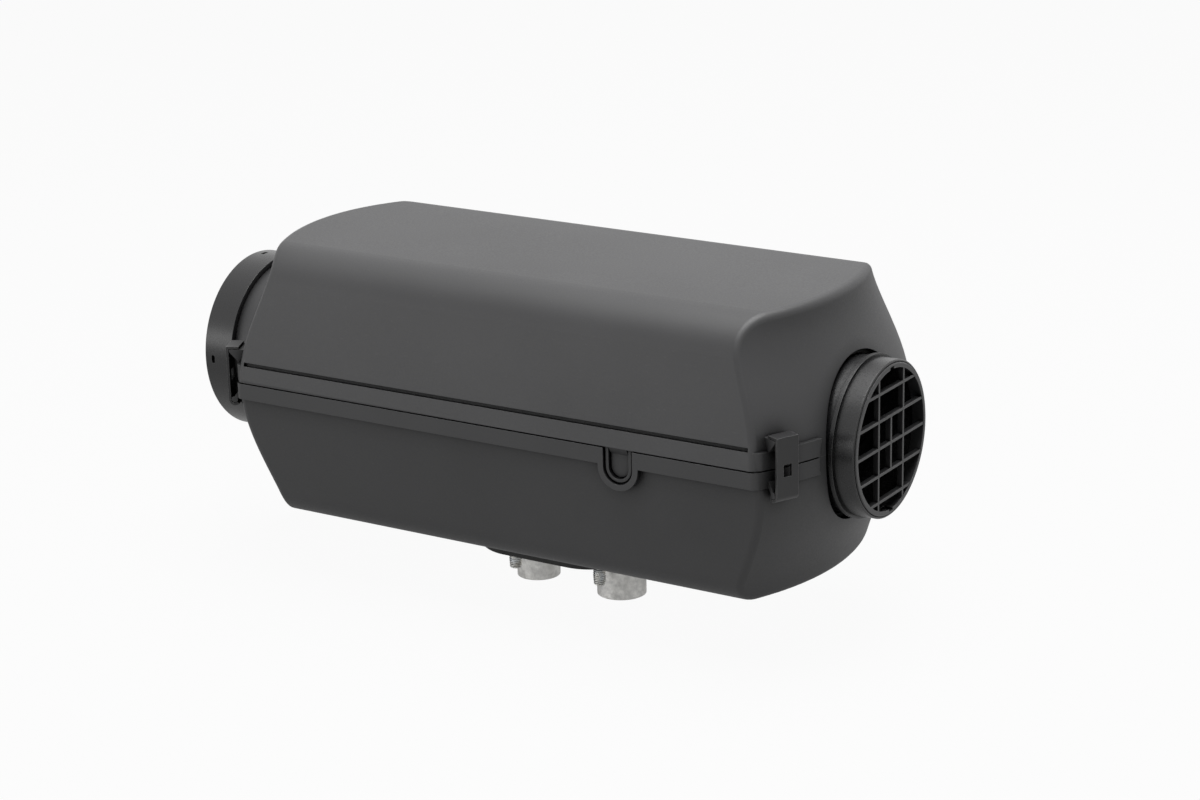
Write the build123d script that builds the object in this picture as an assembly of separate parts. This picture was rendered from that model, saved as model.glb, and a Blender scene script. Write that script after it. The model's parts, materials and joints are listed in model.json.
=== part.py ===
from build123d import *
import math
import os

# Diesel air heater: a two-part moulded casing round a fan, a combustion-air blower,
# a burner and a finned heat exchanger, bolted down through its foot.
# Millimetres. X runs along the air path towards the air inlet, Z is up.
# The origin is the middle of the foot's underside, which is the face that is bolted down.

# --- driving dimensions -------------------------------------------------------
axis_height = 78.5          # air path and fan axis above the mounting face
casing_offset = -2.3        # middle of the casing, along X, from the middle of the foot
running_clear = 0.05

# casing
seam_height = 80.5          # parting line above the mounting face
top_height = 145.8          # top face at its edges, at the inlet end
upper_rise = 1.9            # the top face is this much higher at the outlet end
top_crown = 1.6             # rise of the top face in the middle
bottom_height = 9.9         # underside of the casing
seam_half_width = 79.2
top_half_width = 65.6
side_bulge = 0.9            # the upper side wall bows out by this in the middle
top_edge_radius = 22.5      # soft long edges of the top
bottom_edge_radius = 14.0   # soft long edges of the underside
lower_set_in = 1.6          # the lower side wall starts this far inside the seam band
bottom_half_width = 66.0
end_reach_seam = 168.5      # half length on the axis, at the seam
end_lean_upper = 8.6        # the ends stand in by this, halfway up to the top
end_lean_top = 17.0
end_lean_lower = 7.0        # the same, halfway down to the underside
end_lean_bottom = 19.9
end_plan_radius = 156.0     # the end faces bow out with this radius at the seam, seen from above
end_plan_radius_upper = 146.0
end_plan_radius_top = 115.0
end_plan_radius_bottom = 130.0
end_edge_radius = 4.0
shell_wall = 2.5

# seam band
band_up = 9.0
band_down = 8.0
band_proud = 1.0            # the band stands out from the end faces
band_stop_radius = 45.0     # it stops this far from the axis, round the inlet collar
groove_height = 2.0
groove_depth = 1.5
groove_margin = 3.0         # the groove stops this far before the corner
seam_line = 0.7             # height of the shadow line between the halves
seam_line_depth = 1.0

# cable outlets in the seam
outlet_x = 73.7
outlet_drop = 9.0           # centre of the round part, below the seam
outlet_rim_radius = 10.8
outlet_rim_depth = 10.8
outlet_radius = 7.9
lip_radius = 6.9            # thin U-shaped lip inside the blanked outlet
lip_bore = 5.4
lip_set_back = 1.0
web_set_back = 2.2          # front of the web that carries the lip
web_depth = 1.8
tongue_radius = 4.8         # the upper half's tongue that hangs in the lip
tongue_set_back = 2.6       # its face stands back by this, below a ramp
tongue_ramp = 3.0           # height of the ramp, below the seam
tongue_root = 1.2           # depth at which it is rooted in the wall above
tongue_shoulder = 0.5       # the ramp's back starts this far above the seam's shadow line
tongue_lead = 0.1           # the ramp starts this far inside the wall's face
tongue_plate = 2.0          # thickness of its plate behind the web
fit_gap = 0.4               # between pieces that are put together by hand
grommet_bore = 3.2
grommet_flange = 1.5
grommet_depth = 7.0

# hooks that hold the halves together at the back
hook_x = 105.0
hook_width = 14.0
hook_thick = 2.1
hook_set_in = 5.3           # outer face of the hook, in from the widest part of the casing
hook_drop = 7.0
hook_nose = 2.0

# collars
inlet_overhang = 8.0        # outer rim of the inlet collar, beyond the casing
inlet_radius = 37.5
inlet_length = 23.5
outlet_overhang = 27.3
outlet_collar_radius = 46.3
outlet_length = 17.0
outlet_lip = 2.0
collar_wall = 2.6
collar_chamfer = 0.5
collar_recess = 2.6         # ring gap between the inlet collar and the casing
base_ring_radius = 39.0
base_ring_width = 2.0
base_ring_back = 12.7       # back of the base ring, behind the collar's outer rim
collar_slot = (4.4, 2.0)
collar_slot_inset = 5.0
neck_clear = 0.4
collar_flange = 2.2         # thickness of the inlet collar's flange, held in the shells' groove
groove_clear = 0.3
end_wall_run = 14.0         # the end walls lean in by this much at the collars' radius

# inlet grille
grille_depth = 3.0
grille_radius = 36.2
grille_proud = 0.6          # the grille's rim stands out from the collar by this
grille_gap = 0.3
grille_rim = 2.3
grille_spigot = 3.0
grille_chamfer = 0.4
grille_notch = (4.0, 1.2)   # width and depth of the notches at the rim's top and bottom
rib_width = 1.3
rib_set_back = 0.2
rib_pitch = 13.1
rib_drop = 1.4              # the middle rib lies this far below the axis
upright_offset = 12.5

# clips
clip_width = 12.0
clip_thick = 1.2
clip_top = 16.7             # above the seam
clip_seat = 66.8            # how far out from the middle the clips sit, across the casing
clip_window = (4.4, 5.8)
clip_window_rise = 1.0      # middle of the window above the seam
bead_radius = 1.6
bead_out = 3.9              # bead centre, out from the end face
bead_drop = 10.9            # bead centre, below the seam
bead_clear = 0.3
hook_in = 0.5               # the clip's hook reaches in to here
web_angle = 125.0           # the bead's web slants up and inward at this angle
web_thick = 1.8
web_length = 12.0

# foot, flange and pipes
foot_length = 85.0
foot_width = 80.0
foot_corner = 24.0
foot_clear = 0.2            # between the seal's wall and the flange in it
neck_length = 76.0          # the foot casting's neck, through the casing's underside
neck_width = 52.0
neck_corner = 8.0
neck_gap = 1.5
neck_shoulder = 30.5        # top of the neck, below the axis
seal_wall = 4.0
seal_floor = 2.0
stud_radius = 3.0
stud_spacing_x = 50.0
stud_spacing_y = 41.2
stud_length = 13.5          # below the mounting face
stud_point = 0.8
stud_end_radius = 2.6       # the studs' smooth ends, pressed into the foot casting
stud_end_gap = 0.2
stud_relief = 4.6           # room for a nut's collar round each stud
stud_relief_depth = 1.0
pipe_spacing = 49.8
exhaust_radius = 11.0
exhaust_length = 23.9       # below the mounting face
intake_radius = 12.4
intake_length = 24.8
pipe_wall = 2.4
shoulder_step = 0.8         # the stubs' shoulders, above the mounting face
shoulder_start = 0.2
spigot_step = 1.0           # a stub's end in the foot is smaller by this
spigot_length = 10.0
fuel_y = 16.0
fuel_nipple_radius = 2.5
fuel_flange_radius = 4.0
fuel_pipe_radius = 1.5
fuel_bore = 0.8
fuel_length = 13.0          # below the mounting face
hole_clear = 0.3            # round what passes through the seal

# combustion-air duct, from the foot to the blower
duct_width = 20.0
duct_wall = 2.0
duct_floor_gap = 2.1        # between the duct and the casing's underside
duct_roof_gap = 2.5         # between the duct and the blower above it
port_width = 24.0
port_length = 20.0
port_inset = 5.0            # port's back, from the blower's back
port_cover = 0.5            # the port's block ends this far below the drum's hollow

# heat exchanger and burner
exchanger_start = 44.0
exchanger_room = 30.8       # from the casing's outlet end to the exchanger
exchanger_round = 12.0
jacket_radius = 39.0
jacket_wall = 3.0
rim_thick = 5.0
fin_radius = 52.0
fin_thick = 2.0
fin_count = 24
fin_root = 2.0              # fins start this deep in the jacket
fin_start_gap = 3.0
fin_end_gap = 14.0
fin_clear = 0.5
end_cap_thick = 5.0
burner_radius = 26.0
burner_wall = 1.5
burner_length = 92.0
burner_flange_thick = 4.0
burner_port = 14.0
burner_end_hole = 10.0
burner_plug_gap = 2.5       # round the glow plug, where it passes through the burner's wall
air_hole_radius = 2.5
air_hole_rows = 3
air_hole_ring = 8
air_hole_start = 12.0
air_hole_pitch = 14.0
gasket_thick = 1.5

# blower, motor and fan
blower_length = 30.0
blower_radius = 46.0
blower_wall = 3.0
blower_hub_hole = 12.0
blower_room = 2.0           # between the impeller and the housing
cover_thick = 4.0
screw_radius = 2.0
screw_head = (3.5, 3.5)
screw_inset = 4.5
screw_depth = 3.5
screw_spare = 0.5           # the screws' holes go this much deeper
motor_radius = 24.0
motor_wall = 1.5
motor_end = 7.0
motor_round = 3.0
stator_bore = 17.0
stator_gap = (6.0, 12.0)    # free of laminations at the motor's back and front
stator_slot = (3.0, 5.0)
rotor_radius = 16.0
shaft_radius = 3.0
shaft_tip = 5.0
shaft_lead = 2.0            # the shaft starts this far behind the impeller
nut_wall = 2.5              # from the nut's bore to its corners
nut_height = 4.0
bearing_radius = 8.0
bearing_width = 5.0
bearing_stand = 1.0         # the rear bearing stands out of the blower's cover by this
impeller_radius = 36.0
impeller_width = 10.0
impeller_blades = 12
impeller_hub_radius = 8.0
impeller_plate = 2.0
impeller_blade_thick = 1.2
fan_radius = 40.0
fan_hub_radius = 15.0
fan_hub_wall = 2.0
fan_hub_room = 12.0
fan_seat_wall = 3.0
fan_width = 18.0
fan_blades = 9
fan_gap = 4.5               # from the motor's front to the fan's hub
fan_blade_thick = 1.8
fan_pitch = (58.0, 32.0)    # blade angle at the hub and at the tip, degrees
fan_chord = (1.05, 0.9)     # the same for its chord, as shares of the fan's width
fan_end_gap = 0.5           # from the fan's hub to the throat ring

# guide ring round the fan, with vanes that carry it on the motor
guide_clear = 1.2
guide_wall = 1.8
guide_back = 16.0           # behind the motor's front
guide_hub_wall = 2.5
vane_count = 7
vane_length = 12.0
vane_thick = 1.6
vane_turn = 25.0

# electrics
unit_length = 62.0
unit_width = 52.0
unit_height = 16.0
unit_wall = 1.8
unit_lid = 2.0
unit_round = 3.0
unit_end_room = 86.2        # from the casing's inlet end to the unit's far side
unit_y = 47.0
unit_z = 52.0
unit_rib_inset = 16.0
unit_plug = (8.0, 10.0, 20.0)
unit_plug_rise = 18.0
unit_plug_round = 1.5
glow_x = 20.0
plug_radius = 4.0
plug_boss_radius = 9.0
plug_boss_drop = 4.0        # top of the plug's boss, below the fins' tips
plug_boss_root = 5.0        # the boss starts this deep in the jacket
plug_hex = (6.5, 5.0)
plug_tip_radius = 2.2
plug_tip_height = 12.0      # lower end of the plug's tip, above the axis
plug_step_height = 31.0     # where the tip meets the body
plug_terminal = (1.5, 5.0)
screen_radius = 3.6
sensor_x = -70.0
sensor_size = (12.0, 10.0, 6.0)
sensor_pad = 24.0
sensor_flat = 0.5           # depth of the flat on the jacket that the sensor lies on
strap_width = 5.0
strap_span = 22.0
strap_thick = 0.8

parts = {}


def keep(name, shape):
    parts[name] = shape


def box_between(low, high):
    size = [b - a for a, b in zip(low, high)]
    middle = [(a + b) / 2 for a, b in zip(low, high)]
    return Pos(*middle) * Box(*size)


def rod(x_from, x_to, radius, y=0.0, z=axis_height):
    # a cylinder along X
    middle = (x_from + x_to) / 2
    return Pos(middle, y, z) * Rot(0, 90, 0) * Cylinder(radius, abs(x_to - x_from))


def tube(x_from, x_to, outer, inner, y=0.0, z=axis_height):
    return rod(x_from, x_to, outer, y, z) - rod(x_from - 1, x_to + 1, inner, y, z)


def post(x, y, z_from, z_to, radius):
    return Pos(x, y, (z_from + z_to) / 2) * Cylinder(radius, abs(z_to - z_from))


def foot_block(length, width, z_from, z_to, corner):
    face = RectangleRounded(length, width, corner)
    return extrude(Pos(0, 0, z_from) * face, amount=z_to - z_from)


def beyond_seam(side):
    # everything above the seam (side 1) or below it (side -1)
    size = 2 * end_reach_seam
    low, high = sorted((seam_height, seam_height + side * size))
    return box_between((-size, -size, low), (size, size, high))


# --- casing forms -------------------------------------------------------------
tilt = math.degrees(math.atan(upper_rise / (2 * end_reach_seam)))
section_spare = 2 * upper_rise


def upper_section(inset=0.0):
    # the upper half's outline in the YZ plane, drawn inset by a wall; it goes on a little
    # below the seam, so that it can be tilted and cut level there
    wall_middle = (seam_half_width + top_half_width) / 2 + side_bulge - inset
    z_middle = (seam_height + top_height) / 2
    foot = (seam_half_width - inset, seam_height)
    spare = (foot[0], seam_height - section_spare)
    head = (top_half_width - inset, top_height - inset)
    right = ThreePointArc(foot, (wall_middle, z_middle), head)
    left = mirror(right, about=Plane.YZ)
    crown = ThreePointArc(head, (0, head[1] + top_crown), (-head[0], head[1]))
    base = Polyline((-foot[0], foot[1]), (-spare[0], spare[1]), spare, foot)
    face = make_face([right, crown, left, base])
    corners = [v for v in face.vertices() if v.Y > z_middle]
    return Plane.YZ * fillet(corners, top_edge_radius - inset)


def lower_section(inset=0.0):
    half_width = seam_half_width - lower_set_in - inset
    low_half_width = bottom_half_width - inset
    low = bottom_height + inset
    outline = Polyline(
        (-half_width, seam_height),
        (-low_half_width, low),
        (low_half_width, low),
        (half_width, seam_height),
        close=True,
    )
    face = make_face(outline)
    corners = [v for v in face.vertices() if v.Y < low + 1]
    return Plane.YZ * fillet(corners, bottom_edge_radius - inset)


def upper_prism(inset):
    # the upper outline drawn out lengthwise, sloping up from the inlet end to the outlet end
    length = 2 * end_reach_seam + 10
    prism = extrude(Pos(casing_offset - length / 2, 0, 0) * upper_section(inset), amount=length)
    pivot = Pos(casing_offset + end_reach_seam, 0, seam_height)
    back = Pos(-casing_offset - end_reach_seam, 0, -seam_height)
    return pivot * Rot(0, tilt, 0) * back * prism & beyond_seam(1)


def lower_prism(inset):
    length = 2 * end_reach_seam + 10
    return extrude(Pos(casing_offset - length / 2, 0, 0) * lower_section(inset), amount=length)


def bow(reach, y, radius=end_plan_radius):
    # how far along X a bowed end has come at this distance from the axis
    return reach - radius + math.sqrt(radius ** 2 - y ** 2)


def plan_face(reach, half_width, radius=end_plan_radius):
    # a rectangle with bowed ends, seen from above
    corner = bow(reach, half_width, radius)
    lines = [
        Line((-corner, -half_width), (corner, -half_width)),
        ThreePointArc((corner, -half_width), (reach, 0), (corner, half_width)),
        Line((corner, half_width), (-corner, half_width)),
        ThreePointArc((-corner, half_width), (-reach, 0), (-corner, -half_width)),
    ]
    return Pos(casing_offset, 0, 0) * make_face(lines)


def end_form(inset):
    # the casing's ends: bowed in plan, and drawn in towards the top and underside
    stations = [
        (bottom_height, end_lean_bottom, end_plan_radius_bottom),
        ((bottom_height + seam_height) / 2, end_lean_lower, end_plan_radius),
        (seam_height, 0.0, end_plan_radius),
        ((seam_height + top_height) / 2, end_lean_upper, end_plan_radius_upper),
        (top_height + top_crown + upper_rise, end_lean_top, end_plan_radius_top),
    ]
    wide = seam_half_width + 10
    faces = []
    for z, lean, radius in stations:
        faces.append(Pos(0, 0, z) * plan_face(end_reach_seam - lean - inset, wide, radius))
    return loft(faces)


def half_form(prism, inset=0.0):
    # one half of the casing, solid, with its end edges rounded
    form = prism(inset) & end_form(inset)
    ends = [
        edge
        for edge in form.edges()
        if abs(edge.center().X - casing_offset) > end_reach_seam / 2
        and abs(edge.center().Z - seam_height) > 0.5
    ]
    return fillet(ends, end_edge_radius - inset)


def band_form(half_width, low, high, inset=0.0):
    # a slice of the seam band, upright, with rounded corners
    face = plan_face(end_reach_seam + band_proud - inset, half_width - inset)
    face = fillet(face.vertices(), end_edge_radius - inset)
    return extrude(Pos(0, 0, low) * face, amount=high - low)


def stadium_drop(radius, y_from, y_to, top):
    # an upright U: round below, straight up to the given height
    centre = seam_height - outlet_drop
    depth = abs(y_to - y_from)
    y_middle = (y_from + y_to) / 2
    round_end = Pos(outlet_x, y_middle, centre) * Rot(90, 0, 0) * Cylinder(radius, depth)
    block = box_between(
        (outlet_x - radius, min(y_from, y_to), centre),
        (outlet_x + radius, max(y_from, y_to), top),
    )
    return round_end + block


outer_upper = half_form(upper_prism)
outer_lower = half_form(lower_prism)
cavity_upper = half_form(upper_prism, shell_wall)
cavity_lower = half_form(lower_prism, shell_wall)
seam_cut_outline = band_form(
    seam_half_width, seam_height, seam_height + seam_line, seam_line_depth
)

# --- ends: the inlet throat and the outlet neck --------------------------------
casing_end_x = casing_offset + end_reach_seam
outlet_end_x = casing_offset - end_reach_seam
inlet_face = casing_end_x + inlet_overhang
outlet_face = outlet_end_x - outlet_overhang
throat_bore = inlet_radius + neck_clear
throat_outer = throat_bore + shell_wall
throat_start = inlet_face - inlet_length
throat_root = throat_start - collar_flange - shell_wall
neck_outer = outlet_collar_radius - collar_wall - neck_clear
neck_bore = neck_outer - shell_wall
neck_tip = outlet_face + collar_slot_inset * 2
neck_root = outlet_end_x + end_wall_run


def end_tubes():
    # solid stock for the ring that holds the inlet collar, and for the outlet neck
    ring = rod(throat_root, casing_end_x - band_proud, throat_outer + shell_wall)
    neck = rod(neck_tip, neck_root, neck_outer)
    return ring, neck


def end_cuts():
    bore = rod(throat_root - 1, inlet_face, throat_bore)
    recess = rod(throat_start + shell_wall, inlet_face, inlet_radius + collar_recess)
    groove = rod(
        throat_start - collar_flange - groove_clear, throat_start, throat_outer + groove_clear
    )
    neck = rod(neck_tip - 1, neck_root + 1, neck_bore)
    return bore + recess + groove + neck


def seam_band(half_width, low, high):
    # the band, stopped short of the inlet collar
    stop = rod(casing_end_x - 4 * shell_wall, inlet_face, band_stop_radius)
    return band_form(half_width, low, high) - stop


# --- clip positions -------------------------------------------------------------
clip_face_x = bow(end_reach_seam, clip_seat)
clip_turn = math.degrees(math.asin(clip_seat / end_plan_radius))
clip_places = {
    "clip_inlet_front": Pos(casing_offset + clip_face_x, -clip_seat, seam_height)
    * Rot(0, 0, -clip_turn),
    "clip_outlet_front": Pos(casing_offset - clip_face_x, -clip_seat, seam_height)
    * Rot(0, 0, 180 + clip_turn),
}
plate_in = bead_out + bead_radius + bead_clear
hook_under = clip_top - clip_thick
lug_top = hook_under - bead_clear


def across(outline, width):
    # an outline in the clip's own XZ plane, thickened evenly along its width
    face = Plane.XZ * make_face(Polyline(*outline, close=True))
    return extrude(face, amount=width / 2, both=True)


def clip():
    # a plate with a hooked top and a curl that turns on the bead
    plate = box_between(
        (plate_in, -clip_width / 2, -bead_drop),
        (plate_in + clip_thick, clip_width / 2, clip_top),
    )
    hook = box_between(
        (hook_in, -clip_width / 2, hook_under),
        (plate_in + clip_thick, clip_width / 2, clip_top),
    )
    bead = Pos(bead_out, 0, -bead_drop) * Rot(90, 0, 0)
    curl_bore = bead_radius + bead_clear
    curl = bead * Cylinder(curl_bore + clip_thick, clip_width)
    reach = 3 * curl_bore
    # the curl stays below the bead and open towards the casing
    mouth = across(
        [
            (bead_out, -bead_drop),
            (bead_out + reach, -bead_drop),
            (bead_out + reach, -bead_drop + reach),
            (bead_out - reach, -bead_drop + reach),
            (bead_out - reach, -bead_drop - reach),
        ],
        clip_width + 1,
    )
    curl = curl - mouth - bead * Cylinder(curl_bore, clip_width + 1)
    window = Pos(plate_in, 0, clip_window_rise)
    window = window * Box(4 * clip_thick, clip_window[0], clip_window[1])
    return plate + hook + curl - window


def upper_lug():
    outline = [
        (-3 * shell_wall, band_up),
        (band_proud, band_up),
        (plate_in - bead_clear, lug_top - clip_thick),
        (plate_in - bead_clear, lug_top),
        (-3 * shell_wall, lug_top),
    ]
    return across(outline, clip_width)


def lower_lug():
    # the bead that a clip turns on, and the web that slants up from it to the seam band
    bead = Pos(bead_out, 0, -bead_drop) * Rot(90, 0, 0) * Cylinder(bead_radius, clip_width)
    web = Box(web_length, clip_width, web_thick, align=(Align.MIN, Align.CENTER, Align.CENTER))
    return bead + Pos(bead_out, 0, -bead_drop) * Rot(0, -web_angle, 0) * web


# --- hooks at the back -------------------------------------------------------------
hook_places = (-hook_x, hook_x)
hook_face = seam_half_width - hook_set_in
hook_root = seam_half_width - shell_wall * 0.7


def back_hook(x):
    # a tab of the upper half that hangs inside the lower wall; its nose catches in a slot there
    low = seam_height - hook_drop
    tab = box_between(
        (x - hook_width / 2, hook_face - hook_thick, low),
        (x + hook_width / 2, hook_face, seam_height + 2 * shell_wall),
    )
    bridge = box_between(
        (x - hook_width / 2, hook_face - hook_thick, seam_height + shell_wall),
        (x + hook_width / 2, hook_root, seam_height + 2 * shell_wall),
    )
    nose = box_between(
        (x - hook_width / 2, hook_face - hook_thick, low),
        (x + hook_width / 2, hook_face + hook_nose, low + hook_nose),
    )
    return tab + bridge + nose


def hook_slot(x):
    low = seam_height - hook_drop - fit_gap
    return box_between(
        (x - hook_width / 2 - fit_gap, hook_face, low),
        (x + hook_width / 2 + fit_gap, seam_half_width + 1, low + hook_nose + 2 * fit_gap),
    )


# --- cable outlets -------------------------------------------------------------------
def blanked_outlet_cuts():
    # the front outlet: a shallow pocket, a web with an upright U hole, and room behind it
    face = -seam_half_width
    top = seam_height + 1
    pocket = stadium_drop(outlet_radius, face - 1, face + web_set_back, top)
    behind_web = face + web_set_back + web_depth
    behind = stadium_drop(outlet_radius, behind_web, face + outlet_rim_depth + 1, top)
    hole = stadium_drop(lip_bore, face - 1, behind_web + 1, top)
    return pocket + behind + hole


def outlet_lip_ring():
    face = -seam_half_width
    lip = stadium_drop(lip_radius, face + lip_set_back, face + web_set_back + 0.5, seam_height)
    return lip - stadium_drop(lip_bore, face - 1, face + web_set_back + 1, seam_height + 1)


def tongue():
    # the upper half's tongue hangs in the lip: a ramp leads down to its face, which stands
    # back, and a plate behind the web closes the hole
    face = -seam_half_width
    plate_front = face + web_set_back + web_depth + fit_gap
    plate_back = plate_front + tongue_plate
    top = seam_height + band_up / 2
    low = seam_height - outlet_drop - tongue_radius
    edge = seam_height + seam_line
    stem = stadium_drop(tongue_radius, face, plate_back, top)
    front = Polyline(
        (face - 1, top + 1),
        (face + tongue_root, top + 1),
        (face + tongue_root, edge + tongue_shoulder),
        (face + tongue_lead, edge),
        (face + tongue_set_back, seam_height - tongue_ramp),
        (face + tongue_set_back, low - 1),
        (face - 1, low - 1),
        close=True,
    )
    front = extrude(Plane.YZ * make_face(front), amount=2 * outlet_x)
    return stem - front + stadium_drop(lip_radius, plate_front, plate_back, top)


# --- shells ----------------------------------------------------------------------
def side_groove():
    # the long groove above the seam band, in both side walls
    half = bow(end_reach_seam, seam_half_width) - groove_margin
    low = seam_height + band_up
    slab = box_between(
        (casing_offset - half, -seam_half_width, low),
        (casing_offset + half, seam_half_width, low + groove_height),
    )
    return slab - upper_prism(groove_depth)


def upper_shell():
    lean = (seam_half_width - top_half_width) * band_up / (top_height - seam_height)
    solid = outer_upper + seam_band(seam_half_width - lean, seam_height, seam_height + band_up)
    for place in clip_places.values():
        solid += place * upper_lug()
    ring, neck = end_tubes()
    solid += neck & beyond_seam(1)
    shell = solid - cavity_upper + (ring & outer_upper)
    shell = shell - end_cuts() - side_groove()
    around = band_form(seam_half_width + 5, seam_height - 1, seam_height + seam_line, -5)
    shell -= around - seam_cut_outline
    for x in hook_places:
        shell += back_hook(x)
    return shell + tongue()


def lower_shell():
    solid = outer_lower + seam_band(seam_half_width, seam_height - band_down, seam_height)
    below = beyond_seam(-1)
    for side in (-1, 1):
        outer = side * seam_half_width
        inner = outer - side * outlet_rim_depth
        solid += stadium_drop(outlet_rim_radius, outer, inner, seam_height) & below
    for place in clip_places.values():
        solid += place * lower_lug()
    ring, neck = end_tubes()
    solid += neck & below
    shell = solid - (cavity_lower - unit_ribs()) + (ring & outer_lower)
    shell = shell - end_cuts() - blanked_outlet_cuts()
    shell += outlet_lip_ring()
    back = seam_half_width
    shell -= stadium_drop(outlet_radius, back - outlet_rim_depth - 1, back + 1, seam_height + 1)
    for x in hook_places:
        shell -= hook_slot(x)
    opening = foot_block(
        neck_length + 2 * neck_gap,
        neck_width + 2 * neck_gap,
        0,
        bottom_height + 2 * shell_wall,
        neck_corner,
    )
    return shell - opening


# --- foot --------------------------------------------------------------------------
def stud_places():
    return [
        (x * stud_spacing_x / 2, y * stud_spacing_y / 2) for x in (-1, 1) for y in (-1, 1)
    ]


exhaust_x = -pipe_spacing / 2
intake_x = pipe_spacing / 2
exhaust_bore = exhaust_radius - pipe_wall
intake_bore = intake_radius - pipe_wall
spigot_top = seal_floor + spigot_length
duct_low = bottom_height + shell_wall + duct_floor_gap + duct_wall
duct_high = axis_height - blower_radius - duct_roof_gap - duct_wall


def flange_seal():
    tray = foot_block(foot_length, foot_width, 0, bottom_height, foot_corner)
    pocket = foot_block(
        foot_length - 2 * seal_wall,
        foot_width - 2 * seal_wall,
        seal_floor,
        bottom_height + 1,
        foot_corner - seal_wall,
    )
    tray = tray - pocket
    for x, y in stud_places():
        tray -= post(x, y, -1, seal_floor + 1, stud_relief)
    for x, radius in ((exhaust_x, exhaust_radius), (intake_x, intake_radius)):
        tray -= post(x, 0, -1, seal_floor + 1, radius + shoulder_step + hole_clear)
    return tray - post(0, fuel_y, -1, seal_floor + 1, fuel_flange_radius + hole_clear)


def mounting_studs():
    shank_top = seal_floor + stud_relief_depth - stud_end_gap
    studs = []
    for x, y in stud_places():
        shank = post(x, y, -stud_length, shank_top, stud_radius)
        shank = chamfer(shank.faces().sort_by(Axis.Z)[0].edges(), stud_point)
        studs.append(shank + post(x, y, 0, bottom_height - 1, stud_end_radius))
    return Compound(studs)


def exchanger_foot():
    # the casting under the exchanger: a flange on the seal, and a neck up into the casing
    flange = foot_block(
        foot_length - 2 * seal_wall - 2 * foot_clear,
        foot_width - 2 * seal_wall - 2 * foot_clear,
        seal_floor,
        bottom_height,
        foot_corner - seal_wall - foot_clear,
    )
    neck_top = axis_height - neck_shoulder
    foot = flange + foot_block(neck_length, neck_width, bottom_height - 1, neck_top, neck_corner)
    foot -= rod(-neck_length, neck_length, jacket_radius)
    for x, radius, bore in (
        (exhaust_x, exhaust_radius, exhaust_bore),
        (intake_x, intake_radius, intake_bore),
    ):
        foot -= post(x, 0, 0, spigot_top, radius - spigot_step + running_clear)
        foot -= post(x, 0, 0, duct_high, bore)
    foot -= post(exhaust_x, 0, duct_low, axis_height, exhaust_bore)
    foot -= box_between(
        (intake_x, -duct_width / 2, duct_low), (neck_length, duct_width / 2, duct_high)
    )
    for x, y in stud_places():
        foot -= post(x, y, 0, bottom_height - 1, stud_end_radius + running_clear)
        foot -= post(x, y, 0, seal_floor + stud_relief_depth, stud_relief)
    return foot - post(0, fuel_y, 0, axis_height, fuel_pipe_radius + running_clear)


def stub(x, radius, length):
    # a pipe stub: its shoulder seats under the foot's flange and its spigot is pressed in
    shoulder = post(x, 0, shoulder_start, seal_floor, radius + shoulder_step)
    pipe = post(x, 0, -length, seal_floor, radius)
    spigot = post(x, 0, seal_floor - 1, spigot_top, radius - spigot_step)
    return shoulder + pipe + spigot - post(x, 0, -length - 1, spigot_top + 1, radius - pipe_wall)


def intake_duct():
    # a flat sleeve from the foot's side to the blower's port
    x_from = neck_length / 2
    x_to = blower_back + port_inset
    half = duct_width / 2
    outer = box_between(
        (x_from, -half - duct_wall, duct_low - duct_wall),
        (x_to, half + duct_wall, duct_high + duct_wall),
    )
    outer = fillet(outer.edges().filter_by(Axis.X), duct_wall)
    return outer - box_between((x_from - 1, -half, duct_low), (x_to + 1, half, duct_high))


# --- heat exchanger -----------------------------------------------------------------
def screw_places():
    radius = blower_radius - screw_inset
    angles = [math.radians(45 + 90 * index) for index in range(4)]
    return [(radius * math.cos(a), axis_height + radius * math.sin(a)) for a in angles]


def cooling_fins():
    x_from = exchanger_end + fin_start_gap
    x_to = exchanger_start - fin_end_gap
    blank = box_between(
        (x_from, -fin_thick / 2, jacket_radius - fin_root), (x_to, fin_thick / 2, fin_radius)
    )
    turn = 360 / fin_count
    fins = [Pos(0, 0, axis_height) * Rot(turn * index, 0, 0) * blank for index in range(fin_count)]
    room = foot_block(
        neck_length + 2 * fin_clear, neck_width + 2 * fin_clear, 0, axis_height, neck_corner
    )
    room -= rod(-neck_length, neck_length, jacket_radius - fin_root / 2)
    return [fin - room for fin in fins]


def heat_exchanger():
    jacket = rod(exchanger_end, exchanger_start, jacket_radius)
    jacket = fillet(jacket.faces().sort_by(Axis.X)[0].edges(), exchanger_round)
    rim = rod(exchanger_start - rim_thick, exchanger_start, blower_radius)
    casting = jacket + rim + cooling_fins()
    gas_space = rod(exchanger_end + end_cap_thick, exchanger_start + 1, jacket_radius - jacket_wall)
    inner_round = exchanger_round - jacket_wall
    gas_space = fillet(gas_space.faces().sort_by(Axis.X)[0].edges(), inner_round)
    boss_root = axis_height + jacket_radius
    casting -= post(glow_x, 0, boss_root, axis_height + fin_radius + 1, plug_boss_radius)
    casting += post(glow_x, 0, boss_root - plug_boss_root, plug_seat, plug_boss_radius)
    casting -= post(glow_x, 0, axis_height, plug_seat + 1, plug_radius + running_clear)
    casting -= gas_space
    casting -= post(exhaust_x, 0, 0, axis_height, exhaust_bore)
    casting -= post(0, fuel_y, 0, axis_height, fuel_pipe_radius + running_clear)
    for y, z in screw_places():
        deep = exchanger_start - screw_depth - screw_spare
        casting -= rod(deep, exchanger_start + 1, screw_radius + running_clear, y, z)
    pad = box_between(
        (sensor_x - sensor_pad / 2, -sensor_pad / 2, sensor_seat),
        (sensor_x + sensor_pad / 2, sensor_pad / 2, axis_height + fin_radius + 2),
    )
    return casting - pad


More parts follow.
